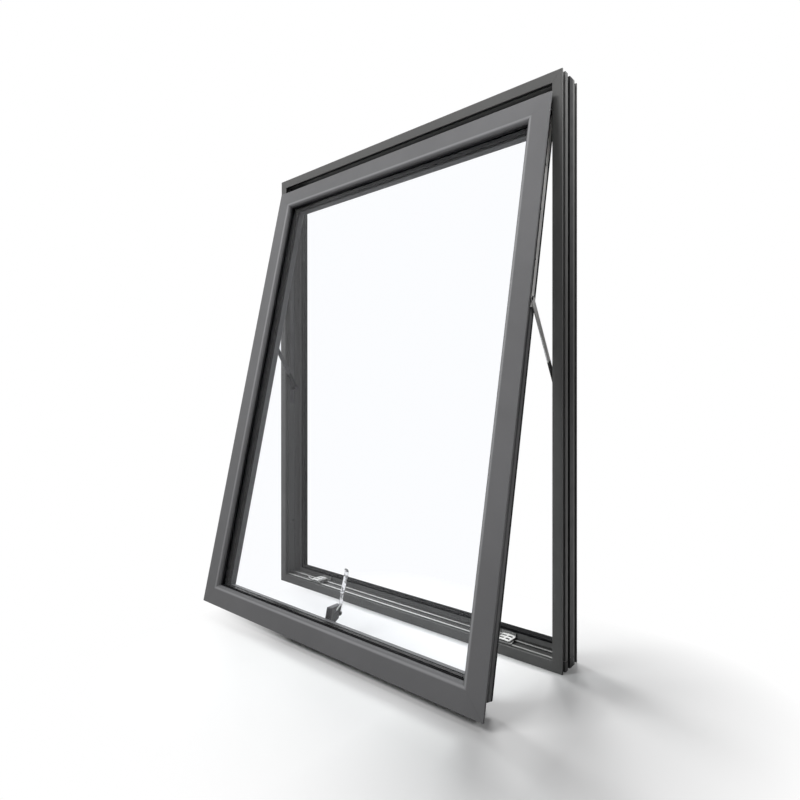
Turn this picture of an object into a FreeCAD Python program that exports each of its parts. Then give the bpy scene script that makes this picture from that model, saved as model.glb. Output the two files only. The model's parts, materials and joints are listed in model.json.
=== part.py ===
import FreeCAD, Part
import math
import os

os.makedirs("parts", exist_ok=True)

# Top hung awning window, drawn open on its two friction stays.
# Millimetres, +Z up, the outside face looks along -Y.
# The origin is on the underside of the sill, on its wide rib, at the middle of its length.

# Outer frame
FRAME_WIDTH = 1003.0
FRAME_HEIGHT = 1350.0
FRAME_DEPTH = 80.0
FRAME_FACE = 24.0
SEAT_DEPTH = 51.0
FRAME_WALL = 2.0
OUTER_GROOVE = 7.0
FRONT_LIP = 3.0
FRONT_GROOVE_FLOOR = 19.0
FRONT_RIB = 13.0
FRONT_RIB_WIDTH = 5.0
BACK_RIB = 41.0
BACK_RIB_WIDTH = 4.0
REBATE_FLOOR = 20.0
UPSTAND = 42.3
UPSTAND_FRONT = 61.0
FIXING_DEPTH = 34.75
FIXING_RADIUS = 4.25
FIXING_MARGIN = 200.0
FIXINGS = 3

# Sash, the same margin to the frame's edge all round when it is closed
SASH_MARGIN = 18.7
SASH_DEPTH = 68.0
SASH_WALL = 2.0
FACE_WALL = 2.5
FLANGE = 5.0
FLAT_FACE = 43.0
BEVEL_EDGE = 55.0
BEVEL_DEPTH = 11.0
BEVEL_STEPS = 6
BODY_INSET = 21.0
REBATE_EDGE = 33.0
REBATE_FACE = 13.0
WEB_DEPTH = 38.0
SASH_BACK_INNER = 56.0
GASKET_GROOVE = 47.0
GASKET_GROOVE_WIDTH = 4.0
GASKET_GROOVE_DEPTH = 3.0
GASKET_FIT = 0.3
GASKET_TIP = 3.0
SEAL_SLOT_EDGE = 24.0
SEAL_SLOT_DEPTH = 8.0
SEAL_FROM_EDGE = 1.5
SEAL_WIDTH = 4.0
SEAL_HEIGHT = 4.5
BEAD_GAP = 3.0
BEAD_STEP = 45.0
BEAD_CHAMFER = 3.0

# Pose of the drawn sash: opening angle, and its top front edge from the frame's front and top
OPEN_ANGLE = 12.575
OPEN_TOP_FORWARD = 14.6
OPEN_TOP_DROP = 50.6

# Sealed double glazing
GLASS_THICKNESS = 5.0
GLASS_CAVITY = 14.0
GLASS_EDGE = 37.0
GLASS_FRONT = 16.0
SPACER_INSET = 4.0
SPACER_WIDTH = 17.0

# Friction stay: down from the sash's top edge, back from its face
STRIP_THICKNESS = 2.5
SASH_STRIP_WIDTH = 17.0
STAY_ARM_WIDTH = 14.0
ARM_GAP = 0.4
KNEE_DOWN = 470.0
KNEE_DEPTH = 45.0
SHOE_PIN_DOWN = 18.0
SHOE_PIN_DEPTH = 47.0
STRIP_PAST_KNEE = 10.0
PIN_RADIUS = 3.0
PIN_FIT = 0.08
RIVET_HEAD_RADIUS = 5.0
RIVET_HEAD = 1.2
SHOE_WIDTH = 11.0
SHOE_LENGTH = 26.0
SHOE_COLLAR_RADIUS = 5.0
SHOE_PLAY = 0.5

# Stay track in the jamb's groove and the stay's fixed foot on it
FOOT_DEPTH = 36.0
FOOT_DROP = 699.0
TRACK_FRONT = 19.5
TRACK_WIDTH = 21.0
TRACK_BASE = 1.5
TRACK_HEIGHT = 4.0
TRACK_LIP = 1.5
TRACK_TOP_GAP = 22.0
TRACK_PAST_FOOT = 51.0
FOOT_BOSS = 12.0

# Keeps in the sill's groove
KEEP_FROM_SIDE = 133.5
KEEP_LENGTH = 52.0
KEEP_SLANT = 13.0
KEEP_FRONT = 11.0
KEEP_BACK = 59.0
KEEP_PLATE = 2.5
KEEP_RISE = 7.5
KEEP_WALL = 2.5
KEEP_HOOK_LENGTH = 30.0
KEEP_HOOK_REACH = 9.0
KEEP_SLOT = 20.0

# Cam handle on the inside of the bottom rail
HANDLE_X = -24.0
HANDLE_WIDTH = 14.0
HANDLE_FROM_BOTTOM = 30.0
HANDLE_HEIGHT = 51.5
HANDLE_AXIS_UP = 37.5
HANDLE_PLATE_WIDTH = 32.0
HANDLE_PLATE_HEIGHT = 23.0
HANDLE_PLATE = 4.0
HANDLE_REACH = 34.0
HANDLE_RISE_BELOW = 26.0
HANDLE_RISE_ABOVE = 8.5
HUB_RADIUS = 7.5
HUB_GAP = 0.4
HUB_LENGTH = 9.0
LEVER_WIDTH = 14.0
LEVER_THICKNESS = 4.6

SASH_WIDTH = FRAME_WIDTH - 2 * SASH_MARGIN
SASH_HEIGHT = FRAME_HEIGHT - 2 * SASH_MARGIN
HALF_WIDTH = FRAME_WIDTH / 2
FRONT = -SEAT_DEPTH
SASH_SIDE = SASH_WIDTH / 2 - BODY_INSET
GROOVE_SIDE = HALF_WIDTH - REBATE_FLOOR
KEEP_OUTER = HALF_WIDTH - KEEP_FROM_SIDE
KEEP_INNER = KEEP_OUTER - KEEP_LENGTH
FRONT_RIB_BACK = FRONT_RIB + FRONT_RIB_WIDTH
BACK_RIB_BACK = BACK_RIB + BACK_RIB_WIDTH
INNER_PANE_FRONT = GLASS_FRONT + GLASS_THICKNESS + GLASS_CAVITY
GLASS_BACK = INNER_PANE_FRONT + GLASS_THICKNESS
BEAD_FRONT = GLASS_BACK + BEAD_GAP
SEAL_SLOT_FRONT = SASH_DEPTH - SEAL_SLOT_DEPTH

# Outline of the frame's extrusion: (inward from the outer edge, back from the front face)
FRAME_OUTLINE = [
    (0, 0), (FRAME_FACE, 0), (FRAME_FACE, FRONT_LIP), (FRONT_GROOVE_FLOOR, FRONT_LIP), (FRONT_GROOVE_FLOOR, FRONT_RIB),
    (FRAME_FACE, FRONT_RIB), (FRAME_FACE, FRONT_RIB_BACK), (REBATE_FLOOR, FRONT_RIB_BACK), (REBATE_FLOOR, BACK_RIB),
    (FRAME_FACE, BACK_RIB), (FRAME_FACE, BACK_RIB_BACK), (22, BACK_RIB_BACK),
    (22, UPSTAND_FRONT), (36, UPSTAND_FRONT), (36, 64), (38, 64),
    (38, UPSTAND_FRONT), (UPSTAND, UPSTAND_FRONT), (UPSTAND, FRAME_DEPTH), (0, FRAME_DEPTH),
    (0, 78), (OUTER_GROOVE, 78), (OUTER_GROOVE, 66), (0, 66), (0, 40.5), (OUTER_GROOVE, 40.5), (OUTER_GROOVE, 29),
    (0, 29), (0, 16), (OUTER_GROOVE, 16), (OUTER_GROOVE, 4), (0, 4),
]
FRAME_CHAMBERS = [
    [(9, 2), (17, 2), (17, 16), (9, 16)],
    [(FRAME_WALL, 18), (18, 18), (18, 27), (FRAME_WALL, 27)],
    [(9, 29), (18, 29), (18, 41), (9, 41)],
    [(FRAME_WALL, 43), (20, 43), (20, 60), (FRAME_WALL, 60)],
    [(9, 66), (UPSTAND - FRAME_WALL, 66), (UPSTAND - FRAME_WALL, 78), (9, 78)],
]
FRAME_SEAL = [(36, 64), (38, 64), (38, UPSTAND_FRONT), (41, UPSTAND_FRONT), (42, 60), (42, 59), (40, 58.2),
              (36, 59.4), (35, UPSTAND_FRONT), (36, UPSTAND_FRONT)]

# The quarter round from the sash's flat face to the glass
BEVEL = []
for step in range(BEVEL_STEPS + 1):
    turn = math.pi / 2 * step / BEVEL_STEPS
    BEVEL.append((FLAT_FACE + (BEVEL_EDGE - FLAT_FACE) * math.sin(turn), BEVEL_DEPTH * (1 - math.cos(turn))))

# Outline of the sash's extrusion: (inward from the sash edge, back from its face)
GASKET_GROOVE_END = GASKET_GROOVE + GASKET_GROOVE_WIDTH
GASKET_GROOVE_FLOOR = REBATE_FACE - GASKET_GROOVE_DEPTH
SASH_OUTLINE = [(0, 0)] + BEVEL + [
    (BEVEL_EDGE, REBATE_FACE), (GASKET_GROOVE_END, REBATE_FACE), (GASKET_GROOVE_END, GASKET_GROOVE_FLOOR),
    (GASKET_GROOVE, GASKET_GROOVE_FLOOR), (GASKET_GROOVE, REBATE_FACE), (REBATE_EDGE, REBATE_FACE),
    (REBATE_EDGE, SASH_DEPTH), (SEAL_SLOT_EDGE, SASH_DEPTH), (SEAL_SLOT_EDGE, SEAL_SLOT_FRONT),
    (BODY_INSET, SEAL_SLOT_FRONT), (BODY_INSET, FLANGE), (0, FLANGE),
]

# The sash's hollows, a wall's thickness inside its outline, with one web between the two at the back
CHAMBER_OUT = BODY_INSET + SASH_WALL
CHAMBER_IN = REBATE_EDGE - SASH_WALL
FACE_CHAMBER_BACK = GASKET_GROOVE_FLOOR - SASH_WALL
WEB_BACK = WEB_DEPTH + SASH_WALL
REAR_CHAMBER_BACK = SEAL_SLOT_FRONT - SASH_WALL
SASH_CHAMBERS = [
    [(CHAMBER_OUT, FACE_WALL), (FLAT_FACE - FACE_WALL, FACE_WALL), (GASKET_GROOVE - 1, FACE_CHAMBER_BACK),
     (CHAMBER_OUT, FACE_CHAMBER_BACK)],
    [(CHAMBER_OUT, REBATE_FACE), (CHAMBER_IN, REBATE_FACE), (CHAMBER_IN, WEB_DEPTH), (CHAMBER_OUT, WEB_DEPTH)],
    [(CHAMBER_OUT, WEB_BACK), (CHAMBER_IN, WEB_BACK), (CHAMBER_IN, REAR_CHAMBER_BACK),
     (CHAMBER_OUT, REAR_CHAMBER_BACK)],
]

# Glazing bead, hollow, with the inner gasket on the slope of its front
BEAD_NOSE = BEAD_FRONT + 5
BEAD_OUTLINE = [
    (REBATE_EDGE, BEAD_FRONT), (BEAD_STEP, BEAD_FRONT), (BEAD_STEP, BEAD_FRONT + 3), (SASH_BACK_INNER, BEAD_NOSE),
    (SASH_BACK_INNER, SASH_DEPTH - BEAD_CHAMFER), (SASH_BACK_INNER - BEAD_CHAMFER, SASH_DEPTH),
    (REBATE_EDGE, SASH_DEPTH),
]
BEAD_CHAMBERS = [[
    (REBATE_EDGE + SASH_WALL, BEAD_FRONT + SASH_WALL), (BEAD_STEP - SASH_WALL, BEAD_FRONT + SASH_WALL),
    (BEAD_STEP - SASH_WALL, BEAD_NOSE), (SASH_BACK_INNER - SASH_WALL, BEAD_NOSE + SASH_WALL),
    (SASH_BACK_INNER - SASH_WALL, SASH_DEPTH - BEAD_CHAMFER - 1),
    (SASH_BACK_INNER - SASH_WALL - BEAD_CHAMFER + 1, SASH_DEPTH - SASH_WALL),
    (REBATE_EDGE + SASH_WALL, SASH_DEPTH - SASH_WALL),
]]
GASKET_EDGE = BEVEL_EDGE + GASKET_TIP
OUTER_GASKET = [
    (GASKET_GROOVE + GASKET_FIT, GASKET_GROOVE_FLOOR + GASKET_FIT),
    (GASKET_GROOVE_END - GASKET_FIT, GASKET_GROOVE_FLOOR + GASKET_FIT), (GASKET_GROOVE_END - GASKET_FIT, REBATE_FACE),
    (BEVEL_EDGE, REBATE_FACE), (BEVEL_EDGE + GASKET_TIP / 2, REBATE_FACE - 1.2), (GASKET_EDGE, REBATE_FACE),
    (GASKET_EDGE - 0.5, GLASS_FRONT), (GASKET_GROOVE + GASKET_FIT, GLASS_FRONT),
]
INNER_GASKET = [(BEAD_STEP, GLASS_BACK), (GASKET_EDGE, GLASS_BACK), (GASKET_EDGE, GLASS_BACK + 2),
                (SASH_BACK_INNER, BEAD_NOSE), (BEAD_STEP, BEAD_FRONT + 3)]
SEAL_INNER = SEAL_FROM_EDGE + SEAL_WIDTH
SASH_FRONT_SEAL = [
    (SEAL_FROM_EDGE, FLANGE), (SEAL_INNER, FLANGE), (SEAL_INNER, FLANGE + 2), (SEAL_INNER - 1, FLANGE + SEAL_HEIGHT),
    (SEAL_FROM_EDGE + 1, FLANGE + SEAL_HEIGHT), (SEAL_FROM_EDGE, FLANGE + 2),
]
SASH_BACK_SEAL = [(BODY_INSET - 0.5, SEAL_SLOT_FRONT + 1), (SEAL_SLOT_EDGE, SEAL_SLOT_FRONT),
                  (SEAL_SLOT_EDGE, SASH_DEPTH), (BODY_INSET + 0.5, SASH_DEPTH - 1)]

# Lever profile: (up from the hub's axis, back from the hub's root), the middle of its thickness
LEVER_LINE = [(-5, 6), (6, 6), (16, 7), (29, 7), (49, 6.5), (72, 8.5), (89, 10), (103, 10.5), (111, 5)]


def export(node, shape):
    shape.exportStep("parts/" + node + ".step")


def ring_bar(outline, side, width, height):
    """Mitred bar of a rectangular ring. Its centre is the origin, depth runs along +Y."""
    half_along = {"top": width, "bottom": width, "left": height, "right": height}[side] / 2
    half_out = {"top": height, "bottom": height, "left": width, "right": width}[side] / 2
    ends = []
    for way in (-1, 1):
        corners = []
        for inward, depth in outline:
            along = way * (half_along - inward)
            out = half_out - inward
            corners.append({
                "top": FreeCAD.Vector(along, depth, out),
                "bottom": FreeCAD.Vector(along, depth, -out),
                "left": FreeCAD.Vector(-out, depth, along),
                "right": FreeCAD.Vector(out, depth, along),
            }[side])
        ends.append(corners)
    count = len(outline)
    faces = []
    for index in range(count):
        after = (index + 1) % count
        around = [ends[0][index], ends[0][after], ends[1][after], ends[1][index]]
        faces.append(Part.Face(Part.makePolygon(around + [around[0]])))
    for corners in ends:
        faces.append(Part.Face(Part.makePolygon(corners + [corners[0]])))
    solid = Part.Solid(Part.Shell(faces))
    if solid.Volume < 0:
        solid.reverse()
    return solid


def hollow_bar(outline, chambers, side, width, height):
    bar = ring_bar(outline, side, width, height)
    for chamber in chambers:
        bar = bar.cut(ring_bar(chamber, side, width, height))
    return bar


def whole_ring(outline, width, height):
    bars = [ring_bar(outline, side, width, height) for side in ("top", "right", "bottom", "left")]
    return bars[0].fuse(bars[1:]).removeSplitter()


def box(x0, x1, y0, y1, z0, z1):
    return Part.makeBox(x1 - x0, y1 - y0, z1 - z0, FreeCAD.Vector(x0, y0, z0))


def cylinder_x(radius, x0, x1, y, z):
    return Part.makeCylinder(radius, x1 - x0, FreeCAD.Vector(x0, y, z), FreeCAD.Vector(1, 0, 0))


def strip_x(x0, x1, start, end, width):
    """Flat strip with round ends, between two points (y, z)."""
    half = width / 2
    length = math.hypot(end[0] - start[0], end[1] - start[1])
    along = ((end[0] - start[0]) / length, (end[1] - start[1]) / length)
    across = (-along[1] * half, along[0] * half)
    corners = []
    for point, way in ((start, 1), (end, 1), (end, -1), (start, -1)):
        corners.append(FreeCAD.Vector(x0, point[0] + way * across[0], point[1] + way * across[1]))
    tip = FreeCAD.Vector(x0, end[0] + along[0] * half, end[1] + along[1] * half)
    tail = FreeCAD.Vector(x0, start[0] - along[0] * half, start[1] - along[1] * half)
    edges = [
        Part.makeLine(corners[0], corners[1]),
        Part.Arc(corners[1], tip, corners[2]).toShape(),
        Part.makeLine(corners[2], corners[3]),
        Part.Arc(corners[3], tail, corners[0]).toShape(),
    ]
    return Part.Face(Part.Wire(edges)).extrude(FreeCAD.Vector(x1 - x0, 0, 0))


def mirrored(shape):
    return shape.mirror(FreeCAD.Vector(0, 0, 0), FreeCAD.Vector(1, 0, 0))


def both_hands(node, right_shape):
    export(node + "_right", right_shape)
    export(node + "_left", mirrored(right_shape))


def place_frame(shape):
    moved = shape.copy()
    moved.translate(FreeCAD.Vector(0, FRONT, FRAME_HEIGHT / 2))
    return moved


def open_sash(shape):
    """Takes a shape drawn on the closed sash (face at y = 0, top edge at z = 0) to the open pose."""
    moved = shape.copy()
    moved.rotate(FreeCAD.Vector(0, 0, 0), FreeCAD.Vector(1, 0, 0), -OPEN_ANGLE)
    moved.translate(FreeCAD.Vector(0, FRONT - OPEN_TOP_FORWARD, FRAME_HEIGHT - OPEN_TOP_DROP))
    return moved


def place_sash(shape):
    """The same for a shape whose centre is the sash's centre."""
    lowered = shape.copy()
    lowered.translate(FreeCAD.Vector(0, 0, -SASH_HEIGHT / 2))
    return open_sash(lowered)


def sash_point(down, depth):
    """(y, z) of a point of the open sash."""
    angle = math.radians(OPEN_ANGLE)
    y = FRONT - OPEN_TOP_FORWARD + depth * math.cos(angle) - down * math.sin(angle)
    z = FRAME_HEIGHT - OPEN_TOP_DROP - depth * math.sin(angle) - down * math.cos(angle)
    return y, z


# Outer frame


def frame_bar(side):
    return place_frame(hollow_bar(FRAME_OUTLINE, FRAME_CHAMBERS, side, FRAME_WIDTH, FRAME_HEIGHT))


def jamb():
    bar = frame_bar("right")
    spacing = (FRAME_HEIGHT - 2 * FIXING_MARGIN) / (FIXINGS - 1)
    for index in range(FIXINGS):
        height = FIXING_MARGIN + index * spacing
        bar = bar.cut(cylinder_x(FIXING_RADIUS, HALF_WIDTH - UPSTAND, HALF_WIDTH, FRONT + FIXING_DEPTH, height))
    return bar


export("frame_head", frame_bar("top"))
export("frame_sill", frame_bar("bottom"))
both_hands("frame_jamb", jamb())
export("frame_seal", place_frame(whole_ring(FRAME_SEAL, FRAME_WIDTH, FRAME_HEIGHT)))

# Sash bars, glazing beads and seals

for node, side in (("sash_top_rail", "top"), ("sash_bottom_rail", "bottom"),
                   ("sash_stile_left", "left"), ("sash_stile_right", "right")):
    export(node, place_sash(hollow_bar(SASH_OUTLINE, SASH_CHAMBERS, side, SASH_WIDTH, SASH_HEIGHT)))
for node, side in (("glazing_bead_top", "top"), ("glazing_bead_bottom", "bottom"),
                   ("glazing_bead_left", "left"), ("glazing_bead_right", "right")):
    export(node, place_sash(hollow_bar(BEAD_OUTLINE, BEAD_CHAMBERS, side, SASH_WIDTH, SASH_HEIGHT)))
for node, outline in (("glazing_gasket_outer", OUTER_GASKET), ("glazing_gasket_inner", INNER_GASKET),
                      ("sash_front_seal", SASH_FRONT_SEAL), ("sash_back_seal", SASH_BACK_SEAL)):
    export(node, place_sash(whole_ring(outline, SASH_WIDTH, SASH_HEIGHT)))

# Sealed double glazing


def pane(front):
    half_width = SASH_WIDTH / 2 - GLASS_EDGE
    half_height = SASH_HEIGHT / 2 - GLASS_EDGE
    return box(-half_width, half_width, front, front + GLASS_THICKNESS, -half_height, half_height)


def glazing_spacer():
    outer = GLASS_EDGE + SPACER_INSET
    inner = outer + SPACER_WIDTH
    front = GLASS_FRONT + GLASS_THICKNESS
    outline = [(outer, front), (inner, front), (inner, INNER_PANE_FRONT), (outer, INNER_PANE_FRONT)]
    return whole_ring(outline, SASH_WIDTH, SASH_HEIGHT)


export("glass_pane_outer", place_sash(pane(GLASS_FRONT)))
export("glass_pane_inner", place_sash(pane(INNER_PANE_FRONT)))
export("glazing_spacer", place_sash(glazing_spacer()))

# Friction stays: the right one is drawn, the left one mirrors it

ARM_INSIDE = SASH_SIDE + STRIP_THICKNESS + ARM_GAP
ARM_OUTSIDE = ARM_INSIDE + STRIP_THICKNESS
TRACK_FLOOR = GROOVE_SIDE - TRACK_BASE
KNEE = sash_point(KNEE_DOWN, KNEE_DEPTH)
SHOE_PIN = sash_point(SHOE_PIN_DOWN, SHOE_PIN_DEPTH)
FOOT = (FRONT + FOOT_DEPTH, FRAME_HEIGHT - FOOT_DROP)


def stay_track():
    y0 = FRONT + TRACK_FRONT
    y1 = y0 + TRACK_WIDTH
    z0 = FOOT[1] - TRACK_PAST_FOOT
    z1 = FRAME_HEIGHT - TRACK_TOP_GAP
    channel = box(TRACK_FLOOR, GROOVE_SIDE, y0, y1, z0, z1)
    for edge in (y0, y1 - TRACK_LIP):
        channel = channel.fuse(box(GROOVE_SIDE - TRACK_HEIGHT, TRACK_FLOOR, edge, edge + TRACK_LIP, z0, z1))
    half = FOOT_BOSS / 2
    boss = box(ARM_OUTSIDE + ARM_GAP, TRACK_FLOOR, FOOT[0] - half, y1 - TRACK_LIP, FOOT[1] - half,
               FOOT[1] + half)
    head_end = ARM_INSIDE - ARM_GAP
    pin = cylinder_x(PIN_RADIUS, head_end, TRACK_FLOOR, *FOOT)
    head = cylinder_x(RIVET_HEAD_RADIUS, head_end - RIVET_HEAD, head_end, *FOOT)
    return channel.fuse([boss, pin, head])


def stay_arm():
    arm = strip_x(ARM_INSIDE, ARM_OUTSIDE, FOOT, KNEE, STAY_ARM_WIDTH)
    for pivot in (FOOT, KNEE):
        arm = arm.cut(cylinder_x(PIN_RADIUS + PIN_FIT, SASH_SIDE, GROOVE_SIDE, *pivot))
    return arm


def sash_strip():
    lower = sash_point(KNEE_DOWN + STRIP_PAST_KNEE, KNEE_DEPTH)
    strip = strip_x(SASH_SIDE, SASH_SIDE + STRIP_THICKNESS, SHOE_PIN, lower, SASH_STRIP_WIDTH)
    head_start = ARM_OUTSIDE + ARM_GAP
    knee_pin = cylinder_x(PIN_RADIUS, SASH_SIDE, head_start, *KNEE)
    knee_head = cylinder_x(RIVET_HEAD_RADIUS, head_start, head_start + RIVET_HEAD, *KNEE)
    shoe_pin = cylinder_x(PIN_RADIUS, SASH_SIDE, GROOVE_SIDE - TRACK_HEIGHT, *SHOE_PIN)
    return strip.fuse([knee_pin, knee_head, shoe_pin])


def shoe():
    y, z = SHOE_PIN
    half_width = SHOE_WIDTH / 2
    body = box(ARM_OUTSIDE + ARM_GAP, TRACK_FLOOR - SHOE_PLAY, y - half_width, y + half_width,
               z - SHOE_LENGTH * 0.7, z + SHOE_LENGTH * 0.3)
    collar = cylinder_x(SHOE_COLLAR_RADIUS, ARM_INSIDE, ARM_OUTSIDE + 2 * ARM_GAP, y, z)
    bore = cylinder_x(PIN_RADIUS + PIN_FIT, SASH_SIDE, GROOVE_SIDE, y, z)
    return body.fuse(collar).cut(bore)


both_hands("stay_track", stay_track())
both_hands("stay_arm", stay_arm())
both_hands("sash_strip", sash_strip())
both_hands("stay_shoe", shoe())

# Keeps on the sill


def keep():
    """Slotted plate across the sill's two ribs, with a hook along its inner end and a flange at its back."""
    y0 = FRONT + KEEP_FRONT
    y1 = FRONT + KEEP_BACK
    top = FRAME_FACE + KEEP_PLATE
    corners = [(KEEP_INNER, y0), (KEEP_OUTER, y0), (KEEP_OUTER - KEEP_SLANT, y1), (KEEP_INNER, y1)]
    points = [FreeCAD.Vector(x, y, FRAME_FACE) for x, y in corners]
    plate = Part.Face(Part.makePolygon(points + [points[0]])).extrude(FreeCAD.Vector(0, 0, KEEP_PLATE))
    slot_x = KEEP_INNER + KEEP_HOOK_REACH
    for share in (0.3, 0.7):
        middle = y0 + (y1 - y0) * share
        plate = plate.cut(box(slot_x, slot_x + KEEP_SLOT, middle - KEEP_WALL, middle + KEEP_WALL, FRAME_FACE, top))
    hook_y1 = y0 + KEEP_HOOK_LENGTH
    wall = box(KEEP_INNER, KEEP_INNER + KEEP_WALL, y0, hook_y1, top, top + KEEP_RISE)
    lip = box(KEEP_INNER + KEEP_WALL, KEEP_INNER + KEEP_HOOK_REACH, y0, hook_y1, top + KEEP_RISE - KEEP_WALL,
              top + KEEP_RISE)
    flange = box(KEEP_INNER, KEEP_OUTER - KEEP_SLANT, y1 - KEEP_WALL, y1, top, top + KEEP_RISE)
    return plate.fuse([wall, lip, flange])


both_hands("sill_keep", keep())

# Cam handle

HANDLE_AXIS_DOWN = SASH_HEIGHT - HANDLE_FROM_BOTTOM - HANDLE_AXIS_UP
HUB_ROOT = SASH_DEPTH + HANDLE_REACH


def handle_base():
    """Body that rises from the rail to the hub, on a plate with an ear for a screw on either side."""
    bottom = -(SASH_HEIGHT - HANDLE_FROM_BOTTOM)
    top = bottom + HANDLE_HEIGHT
    half = HANDLE_WIDTH / 2
    plate_half = HANDLE_PLATE_WIDTH / 2
    plate_back = SASH_DEPTH + HANDLE_PLATE
    plate = box(HANDLE_X - plate_half, HANDLE_X + plate_half, SASH_DEPTH, plate_back, bottom,
                bottom + HANDLE_PLATE_HEIGHT)
    corners = [
        (SASH_DEPTH, bottom), (plate_back, bottom), (HUB_ROOT, bottom + HANDLE_RISE_BELOW),
        (HUB_ROOT, top + HANDLE_RISE_ABOVE), (SASH_DEPTH, top),
    ]
    points = [FreeCAD.Vector(HANDLE_X - half, y, z) for y, z in corners]
    side = Part.Face(Part.makePolygon(points + [points[0]]))
    return plate.fuse(side.extrude(FreeCAD.Vector(HANDLE_WIDTH, 0, 0)))


def lever_curve(way):
    """One side of the lever's strap, half its thickness from the middle line."""
    middle = Part.BSplineCurve()
    middle.interpolate([FreeCAD.Vector(0, depth, up) for up, depth in LEVER_LINE])
    first, last = middle.FirstParameter, middle.LastParameter
    steps = 4 * len(LEVER_LINE)
    points = []
    for step in range(steps + 1):
        at = first + (last - first) * step / steps
        tangent = middle.tangent(at)[0]
        normal = FreeCAD.Vector(0, -tangent.z, tangent.y)
        points.append(middle.value(at) + normal * (way * LEVER_THICKNESS / 2))
    curve = Part.BSplineCurve()
    curve.interpolate(points)
    return curve.toShape(), points[0], points[-1]


def handle_lever():
    front, front_start, front_end = lever_curve(1)
    back, back_start, back_end = lever_curve(-1)
    outline = Part.Wire([front, Part.makeLine(front_end, back_end), back, Part.makeLine(back_start, front_start)])
    strap = Part.Face(outline).extrude(FreeCAD.Vector(LEVER_WIDTH, 0, 0))
    strap.translate(FreeCAD.Vector(HANDLE_X - LEVER_WIDTH / 2, HUB_ROOT, -HANDLE_AXIS_DOWN))
    hub = Part.makeCylinder(HUB_RADIUS, HUB_LENGTH, FreeCAD.Vector(HANDLE_X, HUB_ROOT + HUB_GAP, -HANDLE_AXIS_DOWN),
                            FreeCAD.Vector(0, 1, 0))
    return hub.fuse(strap)


export("handle_base", open_sash(handle_base()))
export("handle_lever", open_sash(handle_lever()))
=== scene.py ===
import bmesh
import bpy
import json
import math
from mathutils import Matrix, Vector


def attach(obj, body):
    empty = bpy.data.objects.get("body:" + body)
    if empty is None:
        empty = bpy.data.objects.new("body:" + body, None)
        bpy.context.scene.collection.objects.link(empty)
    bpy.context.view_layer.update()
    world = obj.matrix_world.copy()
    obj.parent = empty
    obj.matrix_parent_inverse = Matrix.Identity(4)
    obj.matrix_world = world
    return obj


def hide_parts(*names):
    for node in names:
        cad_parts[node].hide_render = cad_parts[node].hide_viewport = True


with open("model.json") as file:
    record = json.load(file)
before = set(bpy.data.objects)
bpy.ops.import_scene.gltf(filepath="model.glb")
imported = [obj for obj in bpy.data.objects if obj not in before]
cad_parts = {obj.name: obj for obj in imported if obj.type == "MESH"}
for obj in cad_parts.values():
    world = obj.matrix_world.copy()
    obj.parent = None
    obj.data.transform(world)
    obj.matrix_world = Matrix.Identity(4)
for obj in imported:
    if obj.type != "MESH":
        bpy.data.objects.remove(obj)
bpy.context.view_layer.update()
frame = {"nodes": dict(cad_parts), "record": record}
NODES = frame["nodes"]

# Metres and radians. The outside of the window looks along -Y, and the origin is under the sill.

# Frame and sash. A depth runs back from the front face, in the sash from its own.
FRAME_WIDTH = 1.003
FRAME_HEIGHT = 1.350
FRONT = -0.051
SASH_WIDTH = 0.9656
SASH_HEIGHT = 1.3126
SASH_DEPTH = 0.068
OPEN_ANGLE = math.radians(12.575)
OPEN_TOP_FORWARD = 0.0146
OPEN_TOP_DROP = 0.0506
SASH_TOP = Vector((0, FRONT - OPEN_TOP_FORWARD, FRAME_HEIGHT - OPEN_TOP_DROP))
RIB_TOP = 0.024
RIBS = ((0.013, 0.018), (0.041, 0.045))
RIB_HIGHLIGHT_FADE = (0.05, 0.40)
GROOVE_FLOOR = 0.020
GROOVE_DEPTHS = (0.018, 0.061)
GROOVE_SHADE_SPAN = (-0.1, 0.40)
BREAK_BAND = (0.029, 0.057)
SIDE_FACE = 0.4930
UPSTAND = 0.0423
SASH_SIDE = 0.4618
SIDE_SHADE_AND_GASKET = ((0.006, 0.050), (0.0625, 0.070))
FLAT_FACE = 0.043
SHOULDER = (0.0015, 0.0065)
SHOULDER_DEPTH = 0.012
SPACER_MIDDLE = 0.028
SPACER_HOLES = 160.0

# Handle. The lever's line is (up, depth) from its axle, the trim's is (depth, up).
HANDLE_X = -0.024
HANDLE_REACH = 0.034
HANDLE_AXIS_DOWN = SASH_HEIGHT - 0.0675
HANDLE_EAR = 0.0115
HANDLE_SCREW_UP = 0.0415
HANDLE_PLATE = 0.004
HANDLE_FOOT = 0.006
HANDLE_TRIM_SIDE = 0.0072
HANDLE_TRIM = ((0.001, 0.0240), (-0.006, 0.0175), (-0.013, 0.0085))
HANDLE_TRIM_SIZE = (0.0045, 0.0016)
HANDLE_TRIM_LEAN = (0, -0.62, 0.78)
HUB_PROFILE = (
    (0, 0.0004), (0.0066, 0.0004), (0.0075, 0.0013), (0.0075, 0.0084), (0.0066, 0.0094), (0, 0.0094),
)
LEVER_LINE = (
    (-0.005, 0.006), (0.006, 0.006), (0.016, 0.007), (0.029, 0.007), (0.049, 0.0065), (0.072, 0.0085),
    (0.089, 0.010), (0.103, 0.0105), (0.111, 0.005),
)
LEVER_WIDTH = 0.0136
LEVER_WAIST = 0.0022
LEVER_THICKNESS = 0.0044
LEVER_TAPER = 0.0010

# Friction stays
KNEE_DOWN = 0.470
KNEE_DEPTH = 0.045
STRIP_FACE = 0.4643
KNEE_HEAD = 0.4688
STRIP_SCREWS = (0.045, 0.150, 0.260, 0.380)
FOOT = (-0.015, 0.651)
FOOT_HEAD = 0.4631
ARM_SLEEVE = 0.056
TRACK_FLOOR = 0.4800
TRACK_MIDDLE = 0.030
TRACK_SCREWS = (0.620, 0.760, 0.960, 1.120)
STRIP_SHADE_DEPTH = 0.0430

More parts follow.
